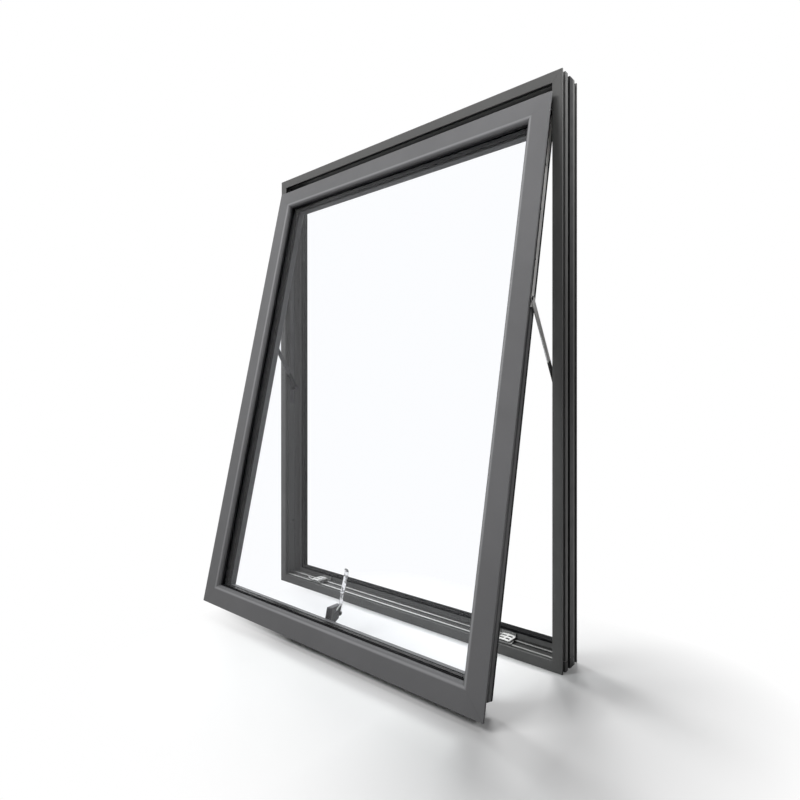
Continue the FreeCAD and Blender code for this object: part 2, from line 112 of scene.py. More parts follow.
# Keeps on the sill: bars at these depths, posts at these distances from the middle
KEEP_TOP = 0.0265
KEEP_SCREWS = ((0.3505, 0.020), (0.3455, 0.050))
KEEP_BARS = (0.0175, 0.0325, 0.0475)
KEEP_POSTS = (0.3250, 0.3415, 0.3580)
KEEP_BAR_UP = 0.0028
KEEP_BAR_SIZE = (0.0072, 0.0030)
KEEP_BAR_BOW = (0, 0.0012, 0.0006)
KEEP_POST_SIZE = (0.0052, 0.0026)
KEEP_SHADE_SHEET = (0.016, 0.0325, 0.049)
KEEP_SHADE_SHEET_UP = 0.0007
KEEP_SHADE_SHEET_SIZE = (0.030, 0.0012)
KEEP_TAIL = ((0.362, 0.019), (0.390, 0.027))
KEEP_TAIL_UP = 0.0012
KEEP_TAIL_SIZE = (0.0042, 0.0018)

# Heads: radius, and rise as a share of it
STAY_SCREW = 0.0034
PIVOT_RIVET = 0.0047
SMALL_SCREW = 0.0032
SCREW_RISE = 0.32
RIVET_RISE = 0.16

# Camera, solved from the corners of the frame and the sash in the photo
CAMERA_PLACE = (1.0245, -1.2198, 0.6115)
CAMERA_AZIMUTH = math.radians(40.476)
CAMERA_LENS = 24.883
CAMERA_SENSOR = 36.0
CAMERA_NEAR = 0.01

# Colours as the photo shows them in plain light, linear
COAT_GREY = (0.155, 0.155, 0.159)
COAT_FRAME = (0.130, 0.130, 0.128)
HANDLE_GREY = (0.115, 0.115, 0.120)
RUBBER_BLACK = (0.011, 0.011, 0.012)
STEEL = (0.74, 0.735, 0.72)
# Painted shade for steel parts on the left side
STEEL_PAINTED_SHADE = (0.10, 0.10, 0.105)
STEEL_METAL = 0.5
STRIP_STEEL = (0.90, 0.895, 0.88)
STEEL_EDGE = (0.9, 0.9, 0.89)
STEEL_GRAIN = (1200.0, 1200.0, 14.0)
CHROME = (0.86, 0.86, 0.865)
ZINC = (0.92, 0.92, 0.90)
ZINC_METAL = 0.35
ZINC_DULL = (0.30, 0.30, 0.295)
ZINC_EDGE = (0.95, 0.95, 0.94)
SPACER_BLACK = (0.012, 0.012, 0.013)
# Painted highlight on the crests of the sill's ribs
RIB_HIGHLIGHT_COLOUR = (0.80, 0.80, 0.78)
BREAK_BLACK = (0.028, 0.028, 0.029)
# Near black for the sash side's painted shade and gasket, and for the upstand's edge
BAND_BLACK = (0.016, 0.016, 0.017)
# Black nylon, also the painted shade on the front of the sash's strip
NYLON_AND_SHADE_BLACK = (0.018, 0.018, 0.020)
GLASS_TINT = (0.985, 0.99, 1.0)
GLASS_SHADOW = (0.97, 0.98, 0.98)
WHITE = (1, 1, 1)

# Floor: its colour, darkened toward the right as a painted shadow, and the box in X and Y round which it
# fades to white
FLOOR_HALF = 30.0
FLOOR_HEIGHT = -0.0005
FLOOR_WHITE = (0.88, 0.88, 0.88)
FLOOR_SHADOW_COLOUR = (0.70, 0.70, 0.70)
FLOOR_SHADOW_SPAN = (0.30, 0.48)
FLOOR_BOUNCE = (0.10, 0.10, 0.10)
SHADOW_BOX = ((-0.1, 0.62), (-0.46, -0.02))
SHADOW_FADE = 0.34

# World: strengths, and the spans of direction over which they change
SKY_TINT = (0.97, 0.98, 1.0)
SKY_LEFT = 0.22
SKY_RIGHT = 0.03
SKY_SPAN = (-0.3, 0.8)
MIRROR_SIDE = (-0.2, 0.35)
MIRROR_RISE = (0.02, 0.30)
MIRROR_LOW = 0.05
MIRROR_HIGH = 0.90

# Lamps: name, place, target, width and height, watts, beam in degrees
LAMPS = (
    ("front", (-0.60, -2.0, 2.3), (0.3, 0, 1.3), (1.3, 1.2), 46.0, 180.0),
    ("back_key", (-0.5, 1.8, 2.7), (0.1, -0.2, 0.2), (0.8, 0.8), 46.0, 180.0),
    ("left_key", (-2.0, 0.7, 2.4), (0.2, 0, 0.3), (0.8, 0.8), 40.0, 180.0),
    ("fill", (0.85, -2.1, 0.95), (0.5, 0, 0.9), (0.5, 0.5), 1.3, 75.0),
    ("right_rim", (0.95, -0.05, 1.9), (0.5, 0, 1.35), (0.3, 0.3), 2.2, 80.0),
)


def sash_matrix():
    """From the closed sash's own space (face at y = 0, top edge at z = 0) to its drawn pose."""
    return Matrix.Translation(SASH_TOP) @ Matrix.Rotation(-OPEN_ANGLE, 4, "X")


# Node helpers


class NodeTree:
    """Short calls for the nodes of a material or a world."""

    def __init__(self, tree):
        self.tree = tree
        tree.nodes.clear()

    def node(self, kind):
        return self.tree.nodes.new("ShaderNode" + kind)

    def link(self, source, target):
        self.tree.links.new(source, target)

    def set(self, socket, value):
        if isinstance(value, (int, float, tuple)):
            socket.default_value = value
        else:
            self.link(value, socket)

    def math(self, operation, first, second=0.0):
        node = self.node("Math")
        node.operation = operation
        self.set(node.inputs[0], first)
        self.set(node.inputs[1], second)
        return node.outputs[0]

    def split(self, vector):
        """The X, Y and Z of a vector."""
        node = self.node("SeparateXYZ")
        self.link(vector, node.inputs[0])
        return node.outputs

    def remap(self, value, from_low, from_high, to_low, to_high):
        node = self.node("MapRange")
        self.link(value, node.inputs["Value"])
        node.inputs["From Min"].default_value = from_low
        node.inputs["From Max"].default_value = from_high
        node.inputs["To Min"].default_value = to_low
        node.inputs["To Max"].default_value = to_high
        return node.outputs["Result"]

    def blend(self, factor, first, second):
        """First shader where factor is 0, second where it is 1."""
        node = self.node("MixShader")
        self.link(factor, node.inputs["Fac"])
        self.link(first, node.inputs[1])
        self.link(second, node.inputs[2])
        return node.outputs["Shader"]


class Shader(NodeTree):
    """A material with one Principled shader."""

    def __init__(self, name, colour, roughness, metallic=0.0):
        self.material = bpy.data.materials.new(name)
        self.material.use_nodes = True
        super().__init__(self.material.node_tree)
        self.output = self.node("OutputMaterial")
        self.shader = self.node("BsdfPrincipled")
        self.link(self.shader.outputs["BSDF"], self.output.inputs["Surface"])
        self.shader.inputs["Base Color"].default_value = (*colour, 1)
        self.shader.inputs["Roughness"].default_value = roughness
        self.shader.inputs["Metallic"].default_value = metallic
        self.material.diffuse_color = (*colour, 1)
        self.place = self.node("TexCoord").outputs["Object"]

    def scaled(self, x, y, z):
        node = self.node("Mapping")
        self.link(self.place, node.inputs["Vector"])
        node.inputs["Scale"].default_value = (x, y, z)
        return node.outputs["Vector"]

    def in_sash(self):
        """Coordinates in the closed sash's own space."""
        shift = self.node("VectorMath")
        shift.operation = "SUBTRACT"
        self.link(self.place, shift.inputs[0])
        shift.inputs[1].default_value = SASH_TOP
        turn = self.node("Mapping")
        self.link(shift.outputs[0], turn.inputs["Vector"])
        turn.inputs["Rotation"].default_value = (OPEN_ANGLE, 0, 0)
        return turn.outputs["Vector"]

    def noise(self, scale, detail=2.0, roughness=0.5, vector=None):
        node = self.node("TexNoise")
        self.link(vector or self.place, node.inputs["Vector"])
        node.inputs["Scale"].default_value = scale
        node.inputs["Detail"].default_value = detail
        node.inputs["Roughness"].default_value = roughness
        return node.outputs["Fac"]

    def mix(self, factor, first, second):
        node = self.node("Mix")
        node.data_type = "RGBA"
        self.set(node.inputs["Factor"], factor)
        self.set(node.inputs["A"], (*first, 1) if isinstance(first, tuple) else first)
        self.set(node.inputs["B"], (*second, 1) if isinstance(second, tuple) else second)
        return node.outputs["Result"]

    def edges(self, radius):
        """1 on edges, 0 on flat faces, with the rounded normal for the bump. Materials paint these edges
        paler, partly as wear and partly as painted highlight.
        """
        bevel = self.node("Bevel")
        bevel.samples = 6
        bevel.inputs["Radius"].default_value = radius
        geometry = self.node("NewGeometry")
        dot = self.node("VectorMath")
        dot.operation = "DOT_PRODUCT"
        self.link(bevel.outputs["Normal"], dot.inputs[0])
        self.link(geometry.outputs["Normal"], dot.inputs[1])
        return self.remap(dot.outputs["Value"], 0.995, 0.90, 0.0, 1.0), bevel.outputs["Normal"]

    def bump(self, height, strength, distance, normal=None):
        node = self.node("Bump")
        node.inputs["Strength"].default_value = strength
        node.inputs["Distance"].default_value = distance
        self.link(height, node.inputs["Height"])
        if normal is not None:
            self.link(normal, node.inputs["Normal"])
        return node.outputs["Normal"]

    def finish(self, colour, roughness, normal):
        self.link(colour, self.shader.inputs["Base Color"])
        self.link(roughness, self.shader.inputs["Roughness"])
        self.link(normal, self.shader.inputs["Normal"])
        return self.material


def shade(colour, factor):
    return tuple(channel * factor for channel in colour)


# Materials


def mitre_seam(s, vector, width, height, centre_z):
    """0 on the hairline joint across each mitred corner, 1 elsewhere."""
    parts = s.split(vector)
    along_x = s.math("SUBTRACT", s.math("ABSOLUTE", parts["X"]), width / 2)
    from_centre = s.math("ABSOLUTE", s.math("SUBTRACT", parts["Z"], centre_z))
    along_z = s.math("SUBTRACT", from_centre, height / 2)
    off = s.math("ABSOLUTE", s.math("SUBTRACT", along_x, along_z))
    return s.remap(off, 0.0001, 0.0005, 0.0, 1.0)


def band(s, value, low, high, soft):
    """1 between low and high, 0 outside."""
    rise = s.remap(value, low - soft, low + soft, 0.0, 1.0)
    fall = s.remap(value, high - soft, high + soft, 1.0, 0.0)
    return s.math("MULTIPLY", rise, fall)


def rib_painted_highlight(s):
    """1 on the painted highlight along the crests of the sill's two ribs, fading toward the right."""
    parts = s.split(s.place)
    depth = s.math("SUBTRACT", parts["Y"], FRONT)
    crests = [band(s, depth, front, back, 0.0002) for front, back in RIBS]
    top = band(s, parts["Z"], RIB_TOP - 0.0006, RIB_TOP + 0.0006, 0.0002)
    dull = s.remap(parts["X"], *RIB_HIGHLIGHT_FADE, 1.0, 0.35)
    return s.math("MULTIPLY", s.math("MULTIPLY", s.math("MAXIMUM", *crests), top), dull)


def groove_painted_shade(s):
    """How much painted shade darkens the floor of the sill's inner groove, more toward the right. 0
    elsewhere.
    """
    parts = s.split(s.place)
    depth = s.math("SUBTRACT", parts["Y"], FRONT)
    floor = band(s, parts["Z"], GROOVE_FLOOR - 0.0015, GROOVE_FLOOR + 0.0025, 0.0003)
    inside = band(s, depth, *GROOVE_DEPTHS, 0.0006)
    shade_toward_right = s.remap(parts["X"], *GROOVE_SHADE_SPAN, 0.1, 0.8)
    return s.math("MULTIPLY", s.math("MULTIPLY", floor, inside), shade_toward_right)


def thermal_break(s):
    """1 on the black plastic between the profile's two halves, where the frame's outer side shows it."""
    parts = s.split(s.place)
    depth = s.math("SUBTRACT", parts["Y"], FRONT)
    side = s.remap(s.math("ABSOLUTE", parts["X"]), SIDE_FACE, SIDE_FACE + 0.0006, 0.0, 1.0)
    return s.math("MULTIPLY", band(s, depth, *BREAK_BAND, 0.0004), side)


def upstand_black_band(s):
    """1 on the band over the upstand's edge, all round the clear opening."""
    parts = s.split(s.place)
    from_side = s.math("SUBTRACT", FRAME_WIDTH / 2, s.math("ABSOLUTE", parts["X"]))
    middle = s.math("ABSOLUTE", s.math("SUBTRACT", parts["Z"], FRAME_HEIGHT / 2))
    from_end = s.math("SUBTRACT", FRAME_HEIGHT / 2, middle)
    return s.remap(s.math("MINIMUM", from_side, from_end), UPSTAND - 0.0008, UPSTAND - 0.0004, 0.0, 1.0)


def side_shade_and_gasket(s):
    """1 on the near black bands along the sash's outer side: painted shade in front of the stay's strip, a
    black gasket behind it.
    """
    parts = s.split(s.in_sash())
    bands = [band(s, parts["Y"], front, back, 0.0004) for front, back in SIDE_SHADE_AND_GASKET]
    side = band(s, s.math("ABSOLUTE", parts["X"]), SASH_SIDE - 0.001, SASH_SIDE + 0.001, 0.0003)
    return s.math("MULTIPLY", s.math("MAXIMUM", *bands), side)


def bevel_painted_highlight(s):
    """1 on the painted highlight where the sash's flat face turns into the rounded bevel."""
    parts = s.split(s.in_sash())
    from_side = s.math("SUBTRACT", SASH_WIDTH / 2, s.math("ABSOLUTE", parts["X"]))
    middle = s.math("ABSOLUTE", s.math("ADD", parts["Z"], SASH_HEIGHT / 2))
    from_end = s.math("SUBTRACT", SASH_HEIGHT / 2, middle)
    inward = s.math("MINIMUM", from_side, from_end)
    start, end = SHOULDER
    shoulder = band(s, inward, FLAT_FACE + start, FLAT_FACE + end, 0.0015)
    return s.math("MULTIPLY", shoulder, s.remap(parts["Y"], SHOULDER_DEPTH, SHOULDER_DEPTH + 0.001, 1.0, 0.0))


def powder_coat(name, colour, on_sash):
    """Fine textured powder coat: orange peel, fine grain, soft mottling, paler edges, mitre joints."""
    s = Shader(name, colour, 0.46)
    s.shader.inputs["Specular IOR Level"].default_value = 0.28 if on_sash else 0.16
    edge, rounded = s.edges(0.0007)
    if on_sash:
        seam = mitre_seam(s, s.in_sash(), SASH_WIDTH, SASH_HEIGHT, -SASH_HEIGHT / 2)
    else:
        seam = mitre_seam(s, s.place, FRAME_WIDTH, FRAME_HEIGHT, FRAME_HEIGHT / 2)
    mottle = s.noise(4.0, 3.0, 0.6)
    base = s.mix(s.remap(mottle, 0.35, 0.65, 0.0, 1.0), shade(colour, 0.93), shade(colour, 1.07))
    speck = s.remap(s.noise(950.0, 1.0), 0.60, 0.72, 0.0, 0.35)
    base = s.mix(speck, base, shade(colour, 1.35))
    rough = s.remap(s.noise(38.0, 2.0), 0.3, 0.7, 0.40, 0.50)
    if on_sash:
        # Painted shade on the front of the sash's outer side, black gasket at its back
        base = s.mix(side_shade_and_gasket(s), base, BAND_BLACK)
        # Painted highlight at the start of the sash's bevel
        base = s.mix(s.math("MULTIPLY", bevel_painted_highlight(s), 0.85), base, shade(colour, 2.1))
    else:
        base = s.mix(thermal_break(s), base, BREAK_BLACK)
        # Painted shade on the floor of the sill's inner groove
        base = s.mix(groove_painted_shade(s), base, shade(colour, 0.22))
        # The coat turns near black and rough over the upstand's edge
        strip = upstand_black_band(s)
        base = s.mix(strip, base, BAND_BLACK)
        rough = s.math("MAXIMUM", rough, s.math("MULTIPLY", strip, 0.95))
    # Paler edges: partly wear, partly painted highlight
    base = s.mix(s.math("MULTIPLY", edge, 0.30), base, shade(colour, 1.8))
    if not on_sash:
        # Painted highlight along the sill's rib crests, broken up by noise
        highlight_break = s.remap(s.noise(140.0, 2.0), 0.3, 0.7, 0.75, 1.0)
        base = s.mix(s.math("MULTIPLY", rib_painted_highlight(s), highlight_break), base, RIB_HIGHLIGHT_COLOUR)
    base = s.mix(s.math("MULTIPLY", s.math("SUBTRACT", 1.0, seam), 0.55), base, shade(colour, 0.4))
    grain = s.bump(s.noise(1500.0, 2.0), 0.22, 0.00010, rounded)
    peel = s.bump(s.noise(330.0, 1.0), 0.20, 0.00016, grain)
    joint = s.bump(seam, 0.4, 0.0002, peel)
    return s.finish(base, rough, joint)


def plain_coat(name, colour):
    """The handle base's coating, smoother than the profiles'."""
    s = Shader(name, colour, 0.38)
    edge, rounded = s.edges(0.0012)
    mottle = s.noise(35.0, 3.0)
    base = s.mix(s.remap(mottle, 0.35, 0.65, 0.0, 1.0), shade(colour, 0.85), shade(colour, 1.15))
    parts = s.split(s.in_sash())
    foot = s.remap(parts["Y"], SASH_DEPTH + HANDLE_FOOT - 0.0008, SASH_DEPTH + HANDLE_FOOT, 1.0, 0.0)
    base = s.mix(foot, base, shade(colour, 0.12))
    # Paler edges: partly wear, partly painted highlight
    base = s.mix(s.math("MULTIPLY", edge, 0.40), base, shade(colour, 3.0))
    rough = s.remap(s.noise(120.0, 2.0), 0.3, 0.7, 0.30, 0.44)
    return s.finish(base, rough, s.bump(s.noise(1200.0, 2.0), 0.25, 0.0001, rounded))


def rubber(name, colour):
    """Dull black rubber with faint paler patches."""
    s = Shader(name, colour, 0.62)
    s.shader.inputs["Specular IOR Level"].default_value = 0.15
    base = s.mix(s.remap(s.noise(22.0, 3.0), 0.35, 0.7, 0.0, 1.0), shade(colour, 0.8), shade(colour, 1.7))
    rough = s.remap(s.noise(90.0, 2.0), 0.3, 0.7, 0.60, 0.80)
    return s.finish(base, rough, s.bump(s.noise(800.0, 2.0), 0.3, 0.0001))


def brushed_steel(name, colour, roughness, bare=None):
    """Rolled strip: fine lines along it, faint smudges, brighter edges, painted shade on parts at the left.
    Near black where bare is 0: a sleeve on the stay arm, painted shade on the sash's strip.
    """
    s = Shader(name, colour, roughness, STEEL_METAL)
    edge, rounded = s.edges(0.0005)
    lines = s.noise(1.0, 2.0, 0.6, s.scaled(*STEEL_GRAIN))
    smudge = s.noise(26.0, 3.0)
    base = s.mix(s.remap(lines, 0.3, 0.7, 0.0, 1.0), shade(colour, 0.86), shade(colour, 1.08))
    base = s.mix(s.remap(smudge, 0.55, 0.75, 0.0, 0.4), base, shade(colour, 0.72))
    # Paler edges: partly wear, partly painted highlight
    base = s.mix(s.math("MULTIPLY", edge, 0.5), base, STEEL_EDGE)
    parts = s.split(s.place)
    # Painted shade: steel on the left side is darkened
    base = s.mix(s.remap(parts["X"], -0.1, 0.1, 1.0, 0.0), base, STEEL_PAINTED_SHADE)
    # Near black: a sleeve on the stay arm, painted shade on the sash's strip
    if bare is not None:
        base = s.mix(bare(s), NYLON_AND_SHADE_BLACK, base)
    rough = s.remap(lines, 0.3, 0.7, roughness - 0.07, roughness + 0.10)
    return s.finish(base, rough, s.bump(lines, 0.18, 0.00008, rounded))


def strip_unshaded(s):
    """0 on the painted shade, near black, over the front part of the sash's strip, 1 on the bare steel behind
    it.
    """
    parts = s.split(s.in_sash())
    return s.remap(parts["Y"], STRIP_SHADE_DEPTH, STRIP_SHADE_DEPTH + 0.0005, 0.0, 1.0)


def bare_arm(s):
    """0 on the black sleeve round the stay arm's lower end, 1 past it."""
    away = s.node("VectorMath")
    away.operation = "DISTANCE"
    s.link(s.scaled(0, 1, 1), away.inputs[0])
    away.inputs[1].default_value = (0, *FOOT)
    return s.remap(away.outputs["Value"], ARM_SLEEVE, ARM_SLEEVE + 0.0015, 0.0, 1.0)


def polished(name, colour, roughness):
    """Bright plate: near mirror, faint polishing marks, finger smudges and dark bands of painted reflection.
    """
    s = Shader(name, colour, roughness, 1.0)
    rounded = s.edges(0.0008)[1]
    marks = s.noise(1.0, 2.0, 0.6, s.scaled(1400.0, 300.0, 120.0))
    base = s.mix(s.remap(s.noise(60.0, 3.0), 0.45, 0.75, 0.0, 0.6), colour, shade(colour, 0.86))
    # Painted reflection: dark stretched bands across the chrome
    painted_reflection = s.noise(1.0, 2.0, 0.6, s.scaled(60.0, 60.0, 85.0))
    base = s.mix(s.remap(painted_reflection, 0.50, 0.60, 0.0, 0.85), base, shade(colour, 0.22))
    rough = s.remap(s.noise(48.0, 3.0), 0.35, 0.75, roughness * 0.7, roughness * 2.0)
    return s.finish(base, rough, s.bump(marks, 0.05, 0.00004, rounded))


def zinc_plate(name, colour):
    """Zinc plating: small cells of tone, brighter edges."""
    s = Shader(name, colour, 0.30, ZINC_METAL)
    edge, rounded = s.edges(0.0005)
    cells = s.node("TexVoronoi")
    s.link(s.place, cells.inputs["Vector"])
    cells.inputs["Scale"].default_value = 420.0
    tone = s.remap(cells.outputs["Distance"], 0.0, 0.8, 0.0, 1.0)
    base = s.mix(tone, shade(colour, 0.88), shade(colour, 1.06))
    # Paler edges: partly wear, partly painted highlight
    base = s.mix(s.math("MULTIPLY", edge, 0.4), base, ZINC_EDGE)
    rough = s.remap(s.noise(160.0, 2.0), 0.3, 0.7, 0.22, 0.40)
    return s.finish(base, rough, s.bump(tone, 0.12, 0.00008, rounded))


def spacer_metal(name, colour):
    """Glazing spacer with the small breather holes of such a bar along its middle."""
    s = Shader(name, colour, 0.40, 1.0)
    parts = s.split(s.in_sash())
    run = s.math("ADD", parts["X"], parts["Z"])
    cell = s.math("FRACT", s.math("MULTIPLY", run, SPACER_HOLES))
    along = s.math("ABSOLUTE", s.math("SUBTRACT", cell, 0.5))
    across = s.math("ABSOLUTE", s.math("SUBTRACT", parts["Y"], SPACER_MIDDLE))
    across = s.math("MULTIPLY", across, SPACER_HOLES)
    hole = s.math("ADD", s.math("MULTIPLY", along, along), s.math("MULTIPLY", across, across))
    dark = s.remap(hole, 0.010, 0.022, 1.0, 0.0)
    lines = s.noise(700.0, 2.0)
    base = s.mix(s.remap(lines, 0.3, 0.7, 0.0, 1.0), shade(colour, 0.85), shade(colour, 1.1))
    base = s.mix(dark, base, shade(colour, 0.12))
    return s.finish(base, s.remap(lines, 0.3, 0.7, 0.34, 0.5), s.bump(lines, 0.2, 0.0001))


def nylon(name, colour):
    """Black plastic with a fine grain."""
    s = Shader(name, colour, 0.42)
    base = s.mix(s.remap(s.noise(90.0, 3.0), 0.35, 0.7, 0.0, 1.0), shade(colour, 0.8), shade(colour, 1.6))
    rough = s.remap(s.noise(300.0, 2.0), 0.3, 0.7, 0.34, 0.52)
    return s.finish(base, rough, s.bump(s.noise(900.0, 2.0), 0.2, 0.0001))


def clear_glass(name):
    """Float glass with faint waviness. Lamps shine through it."""
    s = Shader(name, GLASS_TINT, 0.0)
    s.shader.inputs["Transmission Weight"].default_value = 1.0
    s.shader.inputs["IOR"].default_value = 1.15
    s.shader.inputs["Specular IOR Level"].default_value = 0.05
    s.material.use_transparency_overlap = True
    wave = s.bump(s.noise(3.0, 1.0), 0.02, 0.0004)
    s.link(wave, s.shader.inputs["Normal"])
    path = s.node("LightPath")
    clear = s.node("BsdfTransparent")
    clear.inputs["Color"].default_value = (*GLASS_SHADOW, 1)
    surface = s.blend(path.outputs["Is Shadow Ray"], s.shader.outputs["BSDF"], clear.outputs["BSDF"])
    s.link(surface, s.output.inputs["Surface"])
    return s.material


MATERIALS = {
    "frame_paint": powder_coat("frame_powder_coat", COAT_FRAME, False),
    "sash_paint": powder_coat("sash_powder_coat", COAT_GREY, True),
    "handle_base_paint": plain_coat("handle_base_coat", HANDLE_GREY),
    "handle_chrome": polished("handle_chrome", CHROME, 0.09),
    "black_rubber": rubber("black_rubber", RUBBER_BLACK),
    "clear_glass": clear_glass("clear_float_glass"),
    "spacer_black": spacer_metal("spacer_black", SPACER_BLACK),
    "stainless_steel": brushed_steel("stainless_strip", STEEL, 0.30),
    "zinc_plated": zinc_plate("bright_zinc", ZINC),
    "shoe_nylon": nylon("black_nylon", NYLON_AND_SHADE_BLACK),
}
ARM_STEEL = brushed_steel("stay_arm_steel", STEEL, 0.28, bare_arm)
SASH_STRIP_STEEL = brushed_steel("sash_strip_steel", STRIP_STEEL, 0.30, strip_unshaded)
DULL_ZINC = zinc_plate("dull_zinc", ZINC_DULL)


def dress(node, material):
    mesh = NODES[node].data
    mesh.materials.clear()
    mesh.materials.append(material)


SLOT_OF = {part["node"]: part["material_slot"] for part in frame["record"]["subparts"]}
for node in NODES:
    dress(node, MATERIALS[SLOT_OF[node]])
for hand in ("left", "right"):
    dress("stay_arm_" + hand, ARM_STEEL)
    dress("sash_strip_" + hand, SASH_STRIP_STEEL)
    dress("sill_keep_" + hand, DULL_ZINC)


# Mesh helpers


def add_piece(name, mesh, material, body):
    """A visible piece that rides on a body of the model."""
    mesh.materials.clear()
    mesh.materials.append(material)
    piece = bpy.data.objects.new(name, mesh)
    bpy.context.scene.collection.objects.link(piece)
    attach(piece, body)
    return piece


def finished_mesh(name, bm, smooth_angle=40.0):
    """The mesh of bm, smooth but for edges sharper than smooth_angle."""
    bmesh.ops.remove_doubles(bm, verts=bm.verts, dist=1e-7)
    bmesh.ops.recalc_face_normals(bm, faces=bm.faces)
    sharp = math.radians(smooth_angle)
    for edge in bm.edges:
        edge.smooth = len(edge.link_faces) == 2 and edge.calc_face_angle() < sharp
    for face in bm.faces:
        face.smooth = True
    mesh = bpy.data.meshes.new(name)
    bm.to_mesh(mesh)
    bm.free()
    return mesh


def lathe(bm, profile, segments, matrix):
    """Turns a profile of (radius, height) about Z. A radius of 0 closes an end."""
    rings = []
    for radius, height in profile:
        if radius == 0:
            rings.append([bm.verts.new(matrix @ Vector((0, 0, height)))])
            continue
        ring = []
        for index in range(segments):
            turn = 2 * math.pi * index / segments
            spot = Vector((radius * math.cos(turn), radius * math.sin(turn), height))
            ring.append(bm.verts.new(matrix @ spot))
        rings.append(ring)
    for low, high in zip(rings, rings[1:]):
        for index in range(segments):
            after = (index + 1) % segments
            if len(low) == 1:
                bm.faces.new((low[0], high[index], high[after]))
            elif len(high) == 1:
                bm.faces.new((low[index], high[0], low[after]))
            else:
                bm.faces.new((low[index], high[index], high[after], low[after]))


def facing(place, direction):
    """A matrix that puts Z along direction at place."""
    return Matrix.Translation(place) @ Vector(direction).to_track_quat("Z", "Y").to_matrix().to_4x4()


def screw_head(bm, place, direction, radius, turn):
    """Domed screw head with a cross recess. Its underside is at place."""
    matrix = facing(place, direction) @ Matrix.Rotation(turn, 4, "Z")
    rise = radius * SCREW_RISE
    arm = radius * 0.17
    reach = radius * 0.58
    outline = [
        (reach, -arm), (reach, arm), (arm, arm), (arm, reach), (-arm, reach), (-arm, arm), (-reach, arm),
        (-reach, -arm), (-arm, -arm), (-arm, -reach), (arm, -reach), (arm, -arm),
    ]
    recess = [bm.verts.new(matrix @ Vector((x, y, rise * 0.9))) for x, y in outline]
    floor = [bm.verts.new(matrix @ Vector((x * 0.7, y * 0.7, rise * 0.25))) for x, y in outline]
    count = len(outline)
    rims = []
    for share, height in ((0.78, 0.82), (0.94, 0.45), (1.0, 0.0)):
        ring = []
        for x, y in outline:
            away = math.atan2(y, x)
            spot = Vector((radius * share * math.cos(away), radius * share * math.sin(away), height * rise))
            ring.append(bm.verts.new(matrix @ spot))
        rims.append(ring)
    for first, second in ((floor, recess), (recess, rims[0]), (rims[0], rims[1]), (rims[1], rims[2])):
        for index in range(count):
            after = (index + 1) % count
            bm.faces.new((first[index], first[after], second[after], second[index]))
    bm.faces.new(floor)


def rivet_head(bm, place, direction, radius):
    """Pressed rivet: a low dome with a dimple in the middle."""
    rise = radius * RIVET_RISE
    shape = ((1.0, 0), (0.98, 0.45), (0.82, 0.85), (0.55, 1.0), (0.34, 0.96), (0.22, 0.6), (0, 0.5))
    profile = [(radius * out, rise * up) for out, up in shape]
    lathe(bm, profile, 28, facing(place, direction))


def smooth_line(points, steps):
    """A Catmull-Rom line through points, with steps stations on each run."""
    padded = [points[0] * 2 - points[1]] + points + [points[-1] * 2 - points[-2]]
    line = []
    for index in range(1, len(padded) - 2):
        before, start, end, after = padded[index - 1:index + 3]
        slope = end - before
        bend = 2 * before - 5 * start + 4 * end - after
        twist = 3 * start - before - 3 * end + after
        for step in range(steps):
            at = step / steps
            line.append(0.5 * (2 * start + slope * at + bend * at ** 2 + twist * at ** 3))
    line.append(points[-1])
    return line


def strap(bm, line, widths, thickness, side, matrix, corner=12):
    """A rounded flat bar swept along line. side is the direction of its width."""
    rings = []
    for index, middle in enumerate(line):
        ahead = line[min(index + 1, len(line) - 1)] - line[max(index - 1, 0)]
        across = side.normalized()
        out = ahead.cross(across).normalized()
        half_width = widths[index] / 2
        half_thick = thickness[index] / 2
        ring = []
        for step in range(corner * 2):
            turn = 2 * math.pi * step / (corner * 2)
            x = math.copysign(abs(math.cos(turn)) ** 0.35, math.cos(turn)) * half_width
            y = math.copysign(abs(math.sin(turn)) ** 0.55, math.sin(turn)) * half_thick
            ring.append(bm.verts.new(matrix @ (middle + across * x + out * y)))
        rings.append(ring)
    for low, high in zip(rings, rings[1:]):
        for index in range(corner * 2):
            after = (index + 1) % (corner * 2)
            bm.faces.new((low[index], low[after], high[after], high[index]))
    bm.faces.new(rings[0])
    bm.faces.new(rings[-1])


def flat_bar(bm, points, size, side, matrix=Matrix.Identity(4), corner=8):
    """A bar of one width and thickness through points."""
    line = smooth_line(points, 4)
    width, thickness = size
    strap(bm, line, [width] * len(line), [thickness] * len(line), Vector(side), matrix, corner)


# Fasteners of the stays, the handle and the keeps


def sash_place(x, down, depth):
    """A point given down from the sash's top edge and back from its face."""
    return sash_matrix() @ Vector((x, depth, -down))


def stay_fasteners():
    """Rivets at both pivots, and the screws that hold the strip to the sash and the track to the jamb."""
    for hand, way in (("left", -1), ("right", 1)):
        outward = Vector((way, 0, 0))
        on_strip = bmesh.new()
        for down in STRIP_SCREWS:
            screw_head(on_strip, sash_place(way * STRIP_FACE, down, KNEE_DEPTH), outward, STAY_SCREW, 0.4)
        rivet_head(on_strip, sash_place(way * KNEE_HEAD, KNEE_DOWN, KNEE_DEPTH), outward, PIVOT_RIVET)
        mesh = finished_mesh("strip_fasteners", on_strip)
        add_piece("strip_fasteners_" + hand, mesh, SASH_STRIP_STEEL, "sash")
        on_frame = bmesh.new()
        for height in TRACK_SCREWS:
            spot = Vector((way * TRACK_FLOOR, FRONT + TRACK_MIDDLE, height))
            screw_head(on_frame, spot, -outward, STAY_SCREW, 0.9)
        rivet_head(on_frame, Vector((way * FOOT_HEAD, *FOOT)), -outward, PIVOT_RIVET)
        mesh = finished_mesh("track_fasteners", on_frame)
        add_piece("track_fasteners_" + hand, mesh, MATERIALS["stainless_steel"], "frame")


